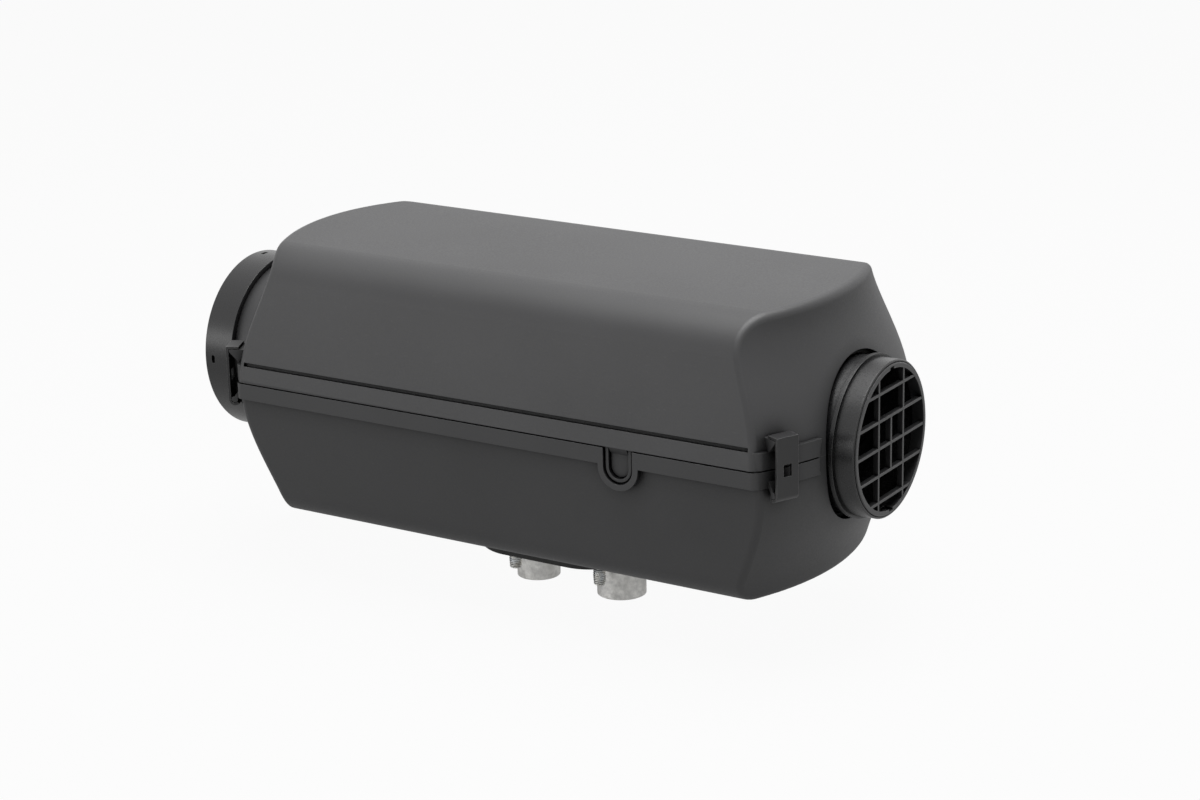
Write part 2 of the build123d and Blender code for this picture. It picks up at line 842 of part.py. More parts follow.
exchanger_end = outlet_end_x + exchanger_room
plug_seat = axis_height + fin_radius - plug_boss_drop
sensor_seat = axis_height + jacket_radius - sensor_flat
burner_seat = exchanger_start + gasket_thick
burner_face = burner_seat + burner_flange_thick
blower_back = burner_face + gasket_thick
blower_front = blower_back + blower_length
cover_front = blower_front + cover_thick


def plate_with_holes(x_from, x_to, outer, inner):
    plate = tube(x_from, x_to, outer, inner)
    for y, z in screw_places():
        plate -= rod(x_from - 1, x_to + 1, screw_radius + running_clear, y, z)
    return plate


def burner_tube():
    flange = plate_with_holes(burner_seat, burner_face, blower_radius, burner_port)
    far_end = burner_seat - burner_length
    can = tube(far_end, burner_seat, burner_radius, burner_radius - burner_wall)
    bottom = tube(far_end, far_end + burner_wall, burner_radius, burner_end_hole)
    holes = []
    turn = 360 / air_hole_ring
    for row in range(air_hole_rows):
        x = burner_seat - air_hole_start - air_hole_pitch * row
        for index in range(air_hole_ring):
            hole = Pos(x, 0, axis_height) * Rot(turn * index + turn / 2 * row, 0, 0)
            hole = hole * Pos(0, 0, burner_radius) * Cylinder(air_hole_radius, 4 * burner_wall)
            holes.append(hole)
    top = axis_height + jacket_radius
    holes.append(post(glow_x, 0, axis_height, top, plug_radius + burner_plug_gap))
    low = axis_height - jacket_radius
    holes.append(post(0, fuel_y, low, axis_height, fuel_pipe_radius + running_clear))
    return flange + can + bottom - holes


def blower_housing():
    # a drum with a port underneath that meets the combustion-air duct
    port_back = blower_back + port_inset
    hollow_radius = impeller_radius + blower_room
    port_height = axis_height - hollow_radius - port_cover
    drum = rod(blower_back, blower_front, blower_radius)
    port = box_between(
        (port_back, -port_width / 2, duct_low - duct_wall),
        (port_back + port_length, port_width / 2, port_height),
    )
    housing = drum + port
    housing -= rod(blower_back + blower_wall, blower_front + 1, hollow_radius)
    housing -= rod(blower_back - 1, blower_front, blower_hub_hole)
    half = duct_width / 2
    housing -= box_between(
        (port_back - 1, -half, duct_low), (port_back + port_length - port_inset, half, duct_high)
    )
    housing -= box_between(
        (port_back + port_inset, -half, duct_low),
        (port_back + port_length - port_inset, half, port_height + port_inset),
    )
    for y, z in screw_places():
        housing -= rod(blower_back - 1, blower_front + 1, screw_radius + running_clear, y, z)
    return housing


def blower_screws():
    screws = []
    for y, z in screw_places():
        shank = rod(exchanger_start - screw_depth, cover_front, screw_radius, y, z)
        head = rod(cover_front, cover_front + screw_head[1], screw_head[0], y, z)
        screws.append(shank + head)
    return Compound(screws)


# --- motor and fan --------------------------------------------------------------------
motor_back = cover_front
fan_front = throat_root - fan_end_gap
fan_back = fan_front - fan_width
motor_front = fan_back - fan_gap
shaft_start = blower_back + 3 * blower_wall
impeller_back = shaft_start + shaft_lead
bearing_seats = (cover_front - bearing_width + bearing_stand, motor_front - bearing_width)


def motor_can():
    can = rod(motor_back, motor_front, motor_radius)
    can = fillet(can.faces().sort_by(Axis.X)[-1].edges(), motor_round)
    can -= rod(motor_back - 1, motor_front - motor_end, motor_radius - motor_wall)
    return can - rod(motor_back, motor_front + 1, bearing_radius + running_clear)


def stator_core():
    x_from = motor_back + stator_gap[0]
    x_to = motor_front - stator_gap[1]
    ring = tube(x_from, x_to, motor_radius - motor_wall - 2 * running_clear, stator_bore)
    slot = Box(2 * (x_to - x_from), stator_slot[0], stator_slot[1])
    for index in range(6):
        place = Pos((x_from + x_to) / 2, 0, axis_height) * Rot(60 * index, 0, 0)
        ring -= place * Pos(0, 0, stator_bore) * slot
    return ring


def motor_bearings():
    bore = shaft_radius + running_clear
    return Compound([tube(x, x + bearing_width, bearing_radius, bore) for x in bearing_seats])


def motor_shaft():
    shaft = rod(shaft_start, fan_front + shaft_tip, shaft_radius)
    return chamfer(shaft.faces().sort_by(Axis.X)[-1].edges(), shaft_radius / 5)


def rotor_core():
    x_from = motor_back + stator_gap[0] + 1
    x_to = motor_front - stator_gap[1] - 1
    return tube(x_from, x_to, rotor_radius, shaft_radius + running_clear)


def combustion_impeller():
    disc = rod(impeller_back, impeller_back + impeller_plate, impeller_radius)
    wheel = disc + rod(impeller_back, impeller_back + impeller_width, impeller_hub_radius)
    # the blades are rooted 1 mm deep in the hub and end 1 mm inside the disc's edge
    blade = box_between(
        (impeller_back + 0.5, -impeller_blade_thick / 2, impeller_hub_radius - 1),
        (impeller_back + impeller_width - 0.5, impeller_blade_thick / 2, impeller_radius - 1),
    )
    turn = 360 / impeller_blades
    for index in range(impeller_blades):
        wheel += Pos(0, 0, axis_height) * Rot(turn * (index + 0.5), 0, 0) * blade
    bore = rod(impeller_back - 1, impeller_back + impeller_width + 1, shaft_radius + running_clear)
    return wheel - bore


def fan_blade(index):
    # a twisted blade: steep at the hub, flatter at the tip
    sections = []
    root = fan_hub_radius - fan_hub_wall
    for share in (0.0, 0.5, 1.0):
        radius = root + (fan_radius - root) * share
        pitch = fan_pitch[0] + (fan_pitch[1] - fan_pitch[0]) * share
        chord = fan_width * (fan_chord[0] + (fan_chord[1] - fan_chord[0]) * share)
        face = RectangleRounded(fan_blade_thick, chord, 0.45 * fan_blade_thick)
        sections.append(Pos(0, 0, radius) * Rot(0, 0, pitch) * face)
    blade = loft(sections, ruled=True)
    turn = 360 / fan_blades
    return Pos((fan_back + fan_front) / 2, 0, axis_height) * Rot(turn * index, 0, 0) * blade


def fan_wheel():
    hub = rod(fan_back, fan_front, fan_hub_radius)
    hub = fillet(hub.faces().sort_by(Axis.X)[-1].edges(), 2 * fan_hub_wall)
    wheel = hub + [fan_blade(index) for index in range(fan_blades)]
    outside = 2 * fan_radius
    wheel -= rod(fan_back - fan_width, fan_back, outside)
    wheel -= rod(fan_front, fan_front + fan_width, outside)
    wheel -= rod(fan_back - 1, fan_back + fan_hub_room, fan_hub_radius - fan_hub_wall)
    wheel += rod(fan_back, fan_front, shaft_radius + fan_seat_wall)
    return wheel - rod(fan_back - 1, fan_front + 1, shaft_radius + running_clear)


def fan_nut():
    hexagon = extrude(RegularPolygon(shaft_radius + nut_wall, 6), nut_height)
    nut = Pos(fan_front, 0, axis_height) * Rot(0, 90, 0) * hexagon
    return nut - rod(fan_front - 1, fan_front + nut_height + 1, shaft_radius + running_clear)


def air_guide():
    # a ring close round the fan; slanted vanes join it to a hub on the motor
    x_from = motor_front - guide_back
    inner = fan_radius + guide_clear
    ring = tube(x_from, throat_root - groove_clear, inner + guide_wall, inner)
    hub_bore = motor_radius + running_clear
    hub_end = motor_front - motor_round
    hub = tube(x_from, hub_end, hub_bore + guide_hub_wall, hub_bore)
    vane_from = hub_bore + guide_hub_wall / 2
    vane_to = inner + guide_wall / 2
    vane = Rot(0, 0, vane_turn) * Box(vane_length, vane_thick, vane_to - vane_from)
    vane = Pos(0, 0, (vane_from + vane_to) / 2) * vane
    middle = Pos((x_from + hub_end) / 2, 0, axis_height)
    turn = 360 / vane_count
    return ring + hub + [middle * Rot(turn * index, 0, 0) * vane for index in range(vane_count)]


# --- collars and grille ------------------------------------------------------------------
grille_back = inlet_face - grille_depth
collar_front = inlet_face - grille_proud
rim_inner = grille_radius - grille_rim


def inlet_collar():
    # a tube with a flange at its root, a base ring outside, and a seat for the grille
    ring_back = inlet_face - base_ring_back
    tube_stock = rod(throat_start, collar_front, inlet_radius)
    tube_stock = chamfer(tube_stock.faces().sort_by(Axis.X)[-1].edges(), collar_chamfer)
    collar = tube_stock + rod(throat_start - collar_flange, throat_start, throat_outer)
    collar += rod(ring_back, ring_back + base_ring_width, base_ring_radius)
    collar -= rod(throat_root, inlet_face, inlet_radius - collar_wall)
    return collar - rod(grille_back, inlet_face, grille_radius + grille_gap)


def inlet_grille():
    disc = tube(grille_back, inlet_face, grille_radius, rim_inner)
    rim_edge = disc.faces().sort_by(Axis.X)[-1].edges().sort_by(SortBy.RADIUS)[-1]
    disc = chamfer(rim_edge, grille_chamfer)
    spigot_radius = inlet_radius - collar_wall - 2 * running_clear
    grille = disc + tube(grille_back - grille_spigot, grille_back + 1, spigot_radius, rim_inner)
    for side in (-1, 1):
        notch = Pos((grille_back + inlet_face) / 2, 0, axis_height + side * rim_inner)
        grille -= notch * Box(2 * grille_depth, grille_notch[0], 2 * grille_notch[1])
    back = grille_back + rib_set_back
    front = inlet_face - rib_set_back
    span = grille_radius
    bars = []
    for index in range(-2, 3):
        z = axis_height - rib_drop + index * rib_pitch
        bars.append(box_between((back, -span, z - rib_width / 2), (front, span, z + rib_width / 2)))
    for y in (-upright_offset, upright_offset):
        low = (back, y - rib_width / 2, axis_height - span)
        bars.append(box_between(low, (front, y + rib_width / 2, axis_height + span)))
    middle = axis_height - rib_drop
    bars.append(
        box_between(
            (back, -rib_width / 2, middle - rib_pitch), (front, rib_width / 2, middle + rib_pitch)
        )
    )
    opening = rod(grille_back, inlet_face, rim_inner + grille_rim / 4)
    return grille + [bar & opening for bar in bars]


def outlet_collar():
    ring = tube(outlet_face, outlet_face + outlet_length, outlet_collar_radius, neck_outer + neck_clear)
    collar = ring + tube(outlet_face, outlet_face + outlet_lip, outlet_collar_radius, neck_bore)
    slot = extrude(SlotOverall(*collar_slot), 2 * collar_wall, both=True)
    for index in range(4):
        place = Pos(outlet_face + collar_slot_inset, 0, axis_height) * Rot(90 * index, 0, 0)
        collar -= place * Pos(0, 0, outlet_collar_radius) * Rot(0, 0, 90) * slot
    return collar


# --- electrics, fuel and sensors ------------------------------------------------------------
unit_x = casing_end_x - unit_end_room
unit_low = (unit_x, unit_y, unit_z)
unit_high = (unit_x + unit_length, unit_y + unit_height, unit_z + unit_width)


def unit_ribs():
    # two ribs inside the back wall that the control unit stands on
    places = (unit_x + unit_rib_inset, unit_x + unit_length - unit_rib_inset)
    return [
        box_between((x, unit_y, 0), (x + shell_wall, seam_half_width, unit_z)) for x in places
    ]


def control_unit_case():
    case = fillet(box_between(unit_low, unit_high).edges().filter_by(Axis.Y), unit_round)
    room_low = [edge + unit_wall for edge in unit_low]
    room_high = (unit_high[0] - unit_wall, unit_high[1] + 1, unit_high[2] - unit_wall)
    return case - box_between(room_low, room_high)


def control_unit_lid():
    lid = box_between(
        (unit_low[0], unit_high[1], unit_low[2]), (unit_high[0], unit_high[1] + unit_lid, unit_high[2])
    )
    return fillet(lid.edges().filter_by(Axis.Y), unit_round)


def control_unit_plug():
    low_z = unit_z + unit_plug_rise
    low = (unit_x - unit_plug[0], unit_y + unit_wall, low_z)
    high = (unit_x, unit_y + unit_wall + unit_plug[1], low_z + unit_plug[2])
    return fillet(box_between(low, high).edges().filter_by(Axis.X), unit_plug_round)


def glow_plug():
    tip = post(glow_x, 0, axis_height + plug_tip_height, axis_height + plug_step_height, plug_tip_radius)
    body = post(glow_x, 0, axis_height + plug_step_height, plug_seat, plug_radius)
    head = Pos(glow_x, 0, plug_seat) * extrude(RegularPolygon(plug_hex[0], 6), plug_hex[1])
    head_top = plug_seat + plug_hex[1]
    terminal = post(glow_x, 0, head_top, head_top + plug_terminal[1], plug_terminal[0])
    return tip + body + head + terminal


def glow_plug_screen():
    low = axis_height + plug_tip_height + 2
    high = axis_height + plug_step_height
    sleeve = post(glow_x, 0, low, high, screen_radius)
    return sleeve - post(glow_x, 0, low - 1, high + 1, plug_tip_radius + running_clear)


def overheat_sensor():
    length, width, height = sensor_size
    block = box_between(
        (sensor_x - length / 2, -width / 2, sensor_seat),
        (sensor_x + length / 2, width / 2, sensor_seat + height),
    )
    return fillet(block.edges().filter_by(Axis.Z), length / 6)


def sensor_clip():
    # a sheet strap over the sensor
    low = (sensor_x - strap_width / 2, -strap_span / 2, sensor_seat)
    high = (sensor_x + strap_width / 2, strap_span / 2, sensor_seat + sensor_size[2] + strap_thick)
    inner_low = (low[0] - 1, low[1] + strap_thick, low[2] - 1)
    return box_between(low, high) - box_between(
        inner_low, (high[0] + 1, high[1] - strap_thick, high[2] - strap_thick)
    )


def fuel_pipe():
    # the nipple's flange seats under the foot; its thin pipe ends just inside the burner
    burner_under = math.sqrt(burner_radius ** 2 - fuel_y ** 2)
    top = axis_height - burner_under + 2 * burner_wall
    nipple = post(0, fuel_y, -fuel_length, seal_floor, fuel_nipple_radius)
    flange = post(0, fuel_y, shoulder_start, seal_floor, fuel_flange_radius)
    pipe = post(0, fuel_y, seal_floor - 1, top, fuel_pipe_radius)
    return nipple + flange + pipe - post(0, fuel_y, -fuel_length - 1, top + 1, fuel_bore)


def cable_grommet():
    # fills the back cable outlet; its flange lies on the wall
    face = seam_half_width
    plug_radius_u = outlet_radius - 2 * running_clear
    body = stadium_drop(plug_radius_u, face + grommet_flange, face - grommet_depth, seam_height)
    flange = stadium_drop(
        outlet_radius + grommet_flange, face + 2 * running_clear, face + grommet_flange, seam_height
    )
    bore = Pos(outlet_x, face, seam_height - outlet_drop) * Rot(90, 0, 0)
    return body + flange - bore * Cylinder(grommet_bore, 4 * grommet_depth)


gas_opening = jacket_radius - jacket_wall
keep("upper_shell", upper_shell())
keep("lower_shell", lower_shell())
keep("inlet_collar", inlet_collar())
keep("inlet_grille", inlet_grille())
keep("outlet_collar", outlet_collar())
for clip_name, clip_place in clip_places.items():
    keep(clip_name, clip_place * clip())
keep("flange_seal", flange_seal())
keep("mounting_studs", mounting_studs())
keep("exchanger_foot", exchanger_foot())
keep("exhaust_stub", stub(exhaust_x, exhaust_radius, exhaust_length))
keep("intake_stub", stub(intake_x, intake_radius, intake_length))
keep("intake_duct", intake_duct())
keep("heat_exchanger", heat_exchanger())
keep("burner_tube", burner_tube())
keep("burner_gasket", plate_with_holes(exchanger_start, burner_seat, blower_radius, gas_opening))
keep("blower_gasket", plate_with_holes(burner_face, blower_back, blower_radius, burner_port))
keep("blower_housing", blower_housing())
keep(
    "blower_cover",
    plate_with_holes(blower_front, cover_front, blower_radius, bearing_radius + running_clear),
)
keep("blower_screws", blower_screws())
keep("motor_can", motor_can())
keep("stator_core", stator_core())
keep("motor_bearings", motor_bearings())
keep("motor_shaft", motor_shaft())
keep("rotor_core", rotor_core())
keep("combustion_impeller", combustion_impeller())
keep("fan_wheel", fan_wheel())
keep("fan_nut", fan_nut())
keep("air_guide", air_guide())
keep("control_unit_case", control_unit_case())
keep("control_unit_lid", control_unit_lid())
keep("control_unit_plug", control_unit_plug())
keep("glow_plug", glow_plug())
keep("glow_plug_screen", glow_plug_screen())
keep("overheat_sensor", overheat_sensor())
keep("sensor_clip", sensor_clip())
keep("fuel_pipe", fuel_pipe())
keep("cable_grommet", cable_grommet())

os.makedirs("parts", exist_ok=True)
for name, shape in parts.items():
    export_step(shape, f"parts/{name}.step")
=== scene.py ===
import json
import math

import bpy
from mathutils import Matrix, Vector


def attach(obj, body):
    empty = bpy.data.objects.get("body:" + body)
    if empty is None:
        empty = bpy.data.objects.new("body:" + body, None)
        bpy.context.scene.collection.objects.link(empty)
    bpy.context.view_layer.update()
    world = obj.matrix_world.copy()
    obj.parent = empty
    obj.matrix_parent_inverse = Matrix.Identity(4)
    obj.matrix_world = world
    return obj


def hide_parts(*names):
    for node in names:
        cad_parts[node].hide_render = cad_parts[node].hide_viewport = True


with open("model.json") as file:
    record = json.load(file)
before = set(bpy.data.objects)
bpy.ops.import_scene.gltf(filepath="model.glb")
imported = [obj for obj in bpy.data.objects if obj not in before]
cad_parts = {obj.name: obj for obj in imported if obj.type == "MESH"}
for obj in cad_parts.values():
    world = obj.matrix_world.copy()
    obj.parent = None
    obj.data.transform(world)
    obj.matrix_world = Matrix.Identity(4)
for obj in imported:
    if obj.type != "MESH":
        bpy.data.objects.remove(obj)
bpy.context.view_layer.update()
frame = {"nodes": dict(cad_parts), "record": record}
nodes = frame["nodes"]
millimetre = 0.001
print("frame loaded:", len(nodes), "nodes")


# the camera stands where the photograph was taken from
cameraView = {
    "azimuth": 32.6,      # degrees round from the front, towards the inlet
    "elevation": 17.2,
    "roll": -1.3,
    "distance": 1367.6,   # mm from the point that it looks at
    "lens": 83.17,        # mm
    "sensor": 36,         # mm, the frame's width
    "target": (14.4, 0.0, 74.2),
}


def makeCamera(view):
    azimuth = math.radians(view["azimuth"])
    elevation = math.radians(view["elevation"])
    roll = math.radians(view["roll"])
    back = Vector((
        math.sin(azimuth) * math.cos(elevation),
        -math.cos(azimuth) * math.cos(elevation),
        math.sin(elevation),
    ))
    level = Vector((math.cos(azimuth), math.sin(azimuth), 0))
    upright = back.cross(level)
    right = math.cos(roll) * level + math.sin(roll) * upright
    up = math.cos(roll) * upright - math.sin(roll) * level
    data = bpy.data.cameras.new("camera")
    data.lens = view["lens"]
    data.sensor_width = view["sensor"]
    data.clip_start = 10 * millimetre
    camera = bpy.data.objects.new("camera", data)
    bpy.context.scene.collection.objects.link(camera)
    place = (Vector(view["target"]) + back * view["distance"]) * millimetre
    turn = Matrix((right, up, back)).transposed()
    camera.matrix_world = Matrix.Translation(place) @ turn.to_4x4()
    bpy.context.scene.camera = camera


makeCamera(cameraView)
bpy.context.scene.view_settings.view_transform = "Standard"
print("camera set")


def srgb(code):
    # "#rrggbb" as it is seen on screen, to the linear values that shaders use
    shares = [int(code[at:at + 2], 16) / 255 for at in (1, 3, 5)]
    linear = [s / 12.92 if s <= 0.04045 else ((s + 0.055) / 1.055) ** 2.4 for s in shares]
    return (*linear, 1.0)


def feed(tree, node, inputs):
    # each input is a value, or the socket that feeds it
    for name, value in inputs.items():
        if isinstance(value, bpy.types.NodeSocket):
            tree.links.new(value, node.inputs[name])
        else:
            node.inputs[name].default_value = value


def addNode(tree, kind, inputs=None, **settings):
    node = tree.nodes.new(kind)
    for name, value in settings.items():
        setattr(node, name, value)
    feed(tree, node, inputs or {})
    return node


def calculate(tree, operation, *values):
    # the result of a Math node on up to three values
    node = addNode(tree, "ShaderNodeMath", dict(enumerate(values)), operation=operation)
    return node.outputs[0]


def remap(tree, value, source, target=(0.0, 1.0)):
    # a range of values carried over to another, and held at its ends
    node = addNode(tree, "ShaderNodeMapRange", {
        "Value": value, "From Min": source[0], "From Max": source[1],
        "To Min": target[0], "To Max": target[1],
    })
    return node.outputs["Result"]


edgeSamples = 4
crowd = (0.3, 0.7)            # where most values of a noise lie
bentNormal = (0.99, 0.85)     # cosines at which an edge's painted highlight starts, and is full
fibrePeaks = (0.68, 0.8)      # the few noise values that are high enough to be a glass fibre
crevice = (0.35, 0.97)        # openness of a deep gap, and of a plain surface: the painted shade in gaps is full at the first and gone at the second
plainSheen = 0.5              # the shader's usual specular level


def perMetre(millimetres):
    # a texture's scale from the size of one of its features
    return 1.0 / (millimetres * millimetre)


def newMaterial(name, look):
    # the parts that every finish shares: where it is read, and edges that are a little rounded
    material = bpy.data.materials.new(name)
    material.use_nodes = True
    tree = material.node_tree
    tree.nodes.clear()
    output = addNode(tree, "ShaderNodeOutputMaterial")
    shader = addNode(tree, "ShaderNodeBsdfPrincipled")
    tree.links.new(shader.outputs["BSDF"], output.inputs["Surface"])
    coordinates = addNode(tree, "ShaderNodeTexCoord").outputs["Object"]
    edge = addNode(tree, "ShaderNodeBevel", {"Radius": look["edge"] * millimetre}, samples=edgeSamples)
    return material, tree, shader, coordinates, edge.outputs["Normal"]


def blend(tree, factor, first, second):
    # a colour between two others
    mix = addNode(tree, "ShaderNodeMix", {"Factor": factor, 6: first, 7: second}, data_type="RGBA")
    return mix.outputs[2]


def spread(tree, value, low, high):
    # noise values, which crowd round the middle, spread over a range
    return remap(tree, value, crowd, (low, high))


def noise(tree, coordinates, size, detail=3.0, roughness=0.6):
    texture = addNode(tree, "ShaderNodeTexNoise", {
        "Vector": coordinates, "Scale": perMetre(size), "Detail": detail, "Roughness": roughness,
    })
    return texture.outputs["Fac"]


def stretched(tree, coordinates, scale):
    # coordinates drawn out along one axis, for grain that runs one way
    mapping = addNode(tree, "ShaderNodeMapping", {"Vector": coordinates, "Scale": scale})
    return mapping.outputs["Vector"]


def paintedEdgeHighlight(tree, normal, share):
    # near its edges, where the rounded normal leaves the face's own, the colour is painted paler: a
    # painted highlight of edges catching the light
    face = addNode(tree, "ShaderNodeNewGeometry").outputs["Normal"]
    along = addNode(tree, "ShaderNodeVectorMath", {0: normal, 1: face}, operation="DOT_PRODUCT")
    return remap(tree, along.outputs["Value"], bentNormal, (0.0, share))


def finish(tree, shader, normal, height, strength, depth):
    bump = addNode(tree, "ShaderNodeBump", {
        "Height": height, "Strength": strength, "Distance": depth * millimetre, "Normal": normal,
    })
    tree.links.new(bump.outputs["Normal"], shader.inputs["Normal"])


# injection-moulded glass-filled polyamide: dark, even, with the fine grain of a spark-eroded mould,
# so that highlights turn into a soft grey sheen; faint clouds where the melt cooled unevenly,
# a painted highlight that draws edges paler, and painted shade that darkens narrow gaps and dims their
# sheen
def mouldedPlastic(name, look):
    material, tree, shader, coordinates, normal = newMaterial(name, look)
    grain = noise(tree, coordinates, look["grain"])
    cloud = noise(tree, coordinates, look["cloud"], 2.0, 0.5)
    tint = blend(tree, spread(tree, cloud, 0.0, 1.0), srgb(look["dark"]), srgb(look["light"]))
    # short glass fibres near the skin show as a few paler flecks
    fleck = noise(tree, stretched(tree, coordinates, (0.35, 1.0, 1.0)), look["fleck"], 1.0, 0.4)
    flecks = remap(tree, fleck, fibrePeaks, (0.0, look["flecks"]))
    tint = blend(tree, flecks, tint, srgb(look["fibre"]))
    # painted highlight: edges are drawn paler, towards the edge tint, as if they caught the light
    tint = blend(tree, paintedEdgeHighlight(tree, normal, look["edgeHighlight"]), tint, srgb(look["highlightTint"]))
    # painted shade: ambient occlusion pulls the colour towards the dark shade colour and lowers the
    # specular level in narrow gaps and crevices, where shade falls
    openness = addNode(tree, "ShaderNodeAmbientOcclusion", {
        "Distance": look["gap"] * millimetre,
    }, samples=edgeSamples).outputs["AO"]
    unshaded = remap(tree, openness, crevice)
    swing = 0.06              # how far the grain moves the roughness either way
    feed(tree, shader, {
        "Base Color": blend(tree, unshaded, srgb(look["shade"]), tint),
        "Roughness": spread(tree, grain, look["roughness"] - swing, look["roughness"] + swing),
        "Specular IOR Level": calculate(tree, "MULTIPLY", unshaded, plainSheen),
        "IOR": 1.53,
    })
    finish(tree, shader, normal, grain, look["bump"], look["depth"])
    return material


# in each plastic look, shade is the colour of the painted shade in narrow gaps, and gap is that
# shade's reach in mm
casingLook = {
    "dark": "#323233", "light": "#373738", "fibre": "#4a4a4a", "flecks": 0.25, "fleck": 0.8,
    "roughness": 0.50, "grain": 0.8, "cloud": 55.0, "bump": 0.35, "depth": 0.06, "edge": 0.35,
    "edgeHighlight": 0.5, "highlightTint": "#6a6a6a", "gap": 11.0, "shade": "#050505",
}
collarLook = {
    "dark": "#161617", "light": "#1a1a1b", "fibre": "#303030", "flecks": 0.12, "fleck": 0.8,
    "roughness": 0.30, "grain": 0.6, "cloud": 30.0, "bump": 0.2, "depth": 0.03, "edge": 0.4,
    "edgeHighlight": 0.5, "highlightTint": "#5e5e5e", "gap": 2.5, "shade": "#050505",
}
grilleLook = {
    "dark": "#2c2c2d", "light": "#323233", "fibre": "#484848", "flecks": 0.15, "fleck": 0.6,
    "roughness": 0.34, "grain": 0.5, "cloud": 20.0, "bump": 0.2, "depth": 0.03, "edge": 0.4,
    "edgeHighlight": 0.8, "highlightTint": "#7a7a7a", "gap": 2.0, "shade": "#050505",
}
clipLook = {
    "dark": "#1f1f20", "light": "#252526", "fibre": "#3c3c3c", "flecks": 0.1, "fleck": 0.6,
    "roughness": 0.36, "grain": 0.5, "cloud": 12.0, "bump": 0.2, "depth": 0.03, "edge": 0.3,
    "edgeHighlight": 1.0, "highlightTint": "#8c8c8c", "gap": 9.0, "shade": "#050505",
}
fanLook = {
    "dark": "#1c1c1d", "light": "#262627", "fibre": "#5a5a58", "flecks": 0.4, "fleck": 0.5,
    "roughness": 0.45, "grain": 0.6, "cloud": 15.0, "bump": 0.3, "depth": 0.04, "edge": 0.4,
    "edgeHighlight": 1.0, "highlightTint": "#b4b4b2", "gap": 2.0, "shade": "#050505",
}
unitLook = {
    "dark": "#1e1f21", "light": "#26272a", "fibre": "#3e3e40", "flecks": 0.2, "fleck": 0.7,
    "roughness": 0.4, "grain": 0.5, "cloud": 18.0, "bump": 0.3, "depth": 0.04, "edge": 0.3,
    "edgeHighlight": 0.3, "highlightTint": "#55565a", "gap": 2.0, "shade": "#050505",
}


# moulded rubber: dead matt black with a dusty bloom in patches and a skin that is slightly uneven
def mouldedRubber(name, look):
    material, tree, shader, coordinates, normal = newMaterial(name, look)
    skin = noise(tree, coordinates, look["skin"])
    bloom = noise(tree, coordinates, look["bloomSize"], 4.0, 0.7)
    tint = blend(tree, spread(tree, bloom, 0.0, 1.0), srgb(look["dark"]), srgb(look["bloom"]))
    feed(tree, shader, {
        "Base Color": tint,
        "Roughness": spread(tree, bloom, look["roughness"] - 0.1, look["roughness"] + 0.08),
        "IOR": 1.5,
    })
    finish(tree, shader, normal, skin, 0.4, look["depth"])
    return material


sealLook = {
    "dark": "#202020", "bloom": "#2b2b2a", "skin": 0.7, "bloomSize": 9.0,
    "roughness": 0.75, "depth": 0.08, "edge": 0.5,
}
grommetLook = {
    "dark": "#161617", "bloom": "#242424", "skin": 0.5, "bloomSize": 5.0,
    "roughness": 0.6, "depth": 0.05, "edge": 0.4,
}


# die-cast aluminium, shot blasted: pale grey with a mottled skin, small pits and broken highlights
def castAluminium(name, look):
    material, tree, shader, coordinates, normal = newMaterial(name, look)
    mottle = noise(tree, coordinates, look["mottle"], 5.0, 0.65)
    flow = noise(tree, stretched(tree, coordinates, (1.0, 1.0, 0.3)), look["flow"], 3.0, 0.55)
    pits = addNode(tree, "ShaderNodeTexVoronoi", {
        "Vector": coordinates, "Scale": perMetre(look["pits"]),
    }).outputs["Distance"]
    tint = blend(tree, spread(tree, mottle, 0.0, 1.0), srgb(look["dark"]), srgb(look["light"]))
    tint = blend(tree, spread(tree, flow, 0.0, look["stain"]), tint, srgb(look["grime"]))
    feed(tree, shader, {
        "Base Color": tint,
        "Roughness": spread(tree, mottle, look["roughness"] - 0.1, look["roughness"] + 0.12),
        "Metallic": 1.0,
    })
    finish(tree, shader, normal, calculate(tree, "ADD", pits, mottle), 0.5, look["depth"])
    return material


castLook = {
    "dark": "#cdcdcb", "light": "#fffefb", "grime": "#9c9a94", "stain": 0.4, "mottle": 3.0,
    "flow": 7.0, "pits": 0.8, "roughness": 0.42, "depth": 0.12, "edge": 0.4,
}
blowerLook = {
    "dark": "#a3a3a1", "light": "#c4c4c1", "grime": "#8d8c87", "stain": 0.3, "mottle": 3.5,
    "flow": 12.0, "pits": 0.7, "roughness": 0.45, "depth": 0.08, "edge": 0.4,
}
impellerLook = {
    "dark": "#a9a9a7", "light": "#cbcbc8", "grime": "#96958f", "stain": 0.2, "mottle": 4.0,
    "flow": 9.0, "pits": 0.6, "roughness": 0.38, "depth": 0.05, "edge": 0.3,
}


# zinc-plated steel: bluish grey passivation that shifts to pale straw in patches, fairly bright
def zincPlatedSteel(name, look):
    material, tree, shader, coordinates, normal = newMaterial(name, look)
    patches = noise(tree, coordinates, look["patch"], 2.0, 0.5)
    spangle = noise(tree, coordinates, look["spangle"], 4.0, 0.6)
    tint = blend(tree, spread(tree, patches, 0.0, 1.0), srgb(look["blue"]), srgb(look["straw"]))
    feed(tree, shader, {
        "Base Color": tint,
        "Roughness": spread(tree, spangle, 0.22, 0.4),
        "Metallic": 1.0,
    })
    finish(tree, shader, normal, spangle, 0.25, look["depth"])
    return material


zincLook = {
    "blue": "#d3d6d8", "straw": "#dedbd2", "patch": 4.0, "spangle": 0.8,
    "depth": 0.03, "edge": 0.2,
}


